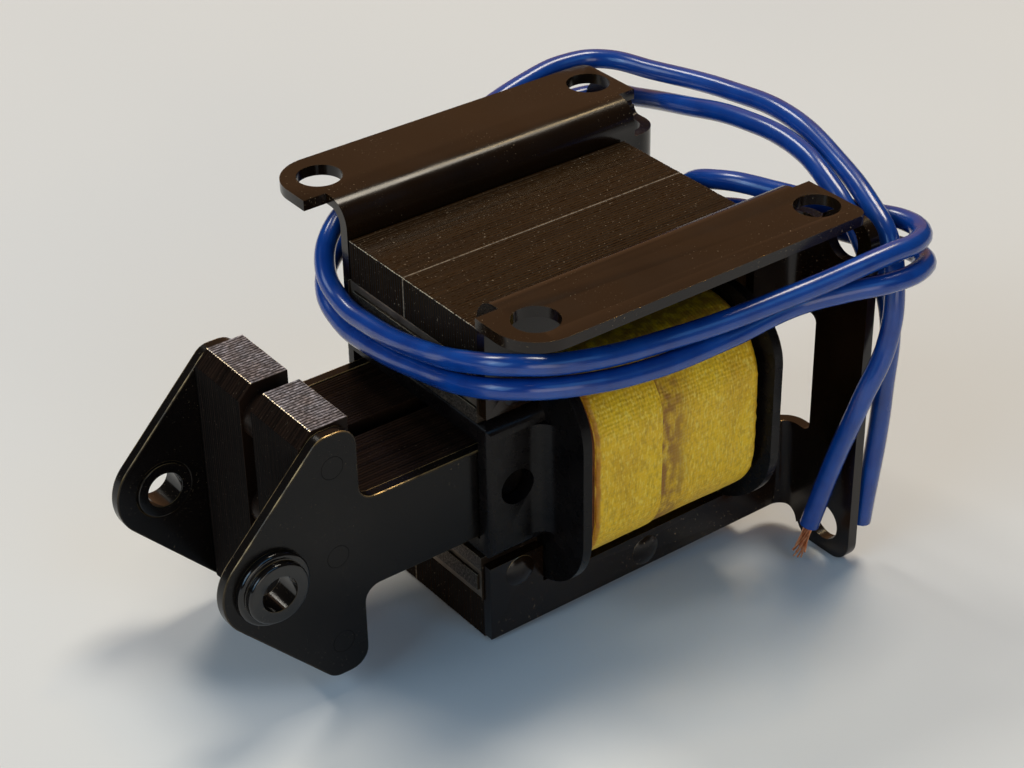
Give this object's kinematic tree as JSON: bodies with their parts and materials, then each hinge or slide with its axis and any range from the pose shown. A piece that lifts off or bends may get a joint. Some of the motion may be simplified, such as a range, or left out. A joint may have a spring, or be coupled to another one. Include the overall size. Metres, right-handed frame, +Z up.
{
  "type": "push pull solenoid",
  "caption": "Laminated box-frame solenoid with a taped coil, a T-head plunger ending in clevis ears, bent side brackets with mounting holes, and blue leads.",
  "frame": {"origin": "centre of the four top mounting holes, on the upper face of the top flanges", "axes": "+X from the plunger ears to the rear flanges, +Y across the lamination stack, +Z up, out of the top flanges"},
  "size_m": [0.098, 0.068, 0.0573],
  "materials": {
    "lamination_enamel": "dark varnished steel sheet edges",
    "lamination_bare": "ground sheet edges under thin varnish",
    "ring_copper": "dull copper under varnish",
    "bracket_enamel": "gloss black-brown enamel",
    "rivet_steel": "varnished steel",
    "bobbin_plastic": "dark glass-filled plastic",
    "magnet_wire": "enamelled copper",
    "coil_tape": "yellow woven cloth tape stained with varnish",
    "plunger_enamel": "varnished steel sheet edges",
    "lead_insulation": "glossy blue insulation",
    "lead_copper": "bare stranded copper"
  },
  "bodies": {
    "frame": {"field_pack_near": "lamination_enamel", "field_pack_far": "lamination_enamel", "pole_block_upper": "lamination_bare", "pole_block_lower": "lamination_bare", "shading_ring_upper": "ring_copper", "shading_ring_lower": "ring_copper", "side_bracket_near": "bracket_enamel", "side_bracket_far": "bracket_enamel", "frame_rivets": "rivet_steel", "pole_rivets": "rivet_steel", "bobbin": "bobbin_plastic", "coil_winding": "magnet_wire", "coil_wrap": "coil_tape", "lead_wire_a": "lead_insulation", "lead_wire_b": "lead_insulation", "lead_strands": "lead_copper"},
    "plunger": {"plunger_pack_near": "plunger_enamel", "plunger_pack_far": "plunger_enamel", "pack_spacers": "rivet_steel", "ear_plate_near": "bracket_enamel", "ear_plate_far": "bracket_enamel", "ear_bushing_near": "rivet_steel", "ear_bushing_far": "rivet_steel", "plunger_rivets": "rivet_steel"}
  },
  "joints": [
    {"name": "plunger_slide", "type": "slide", "parent": "frame", "child": "plunger", "axis": [1, 0, 0], "range_m": [-0.008, 0.013]}
  ]
}
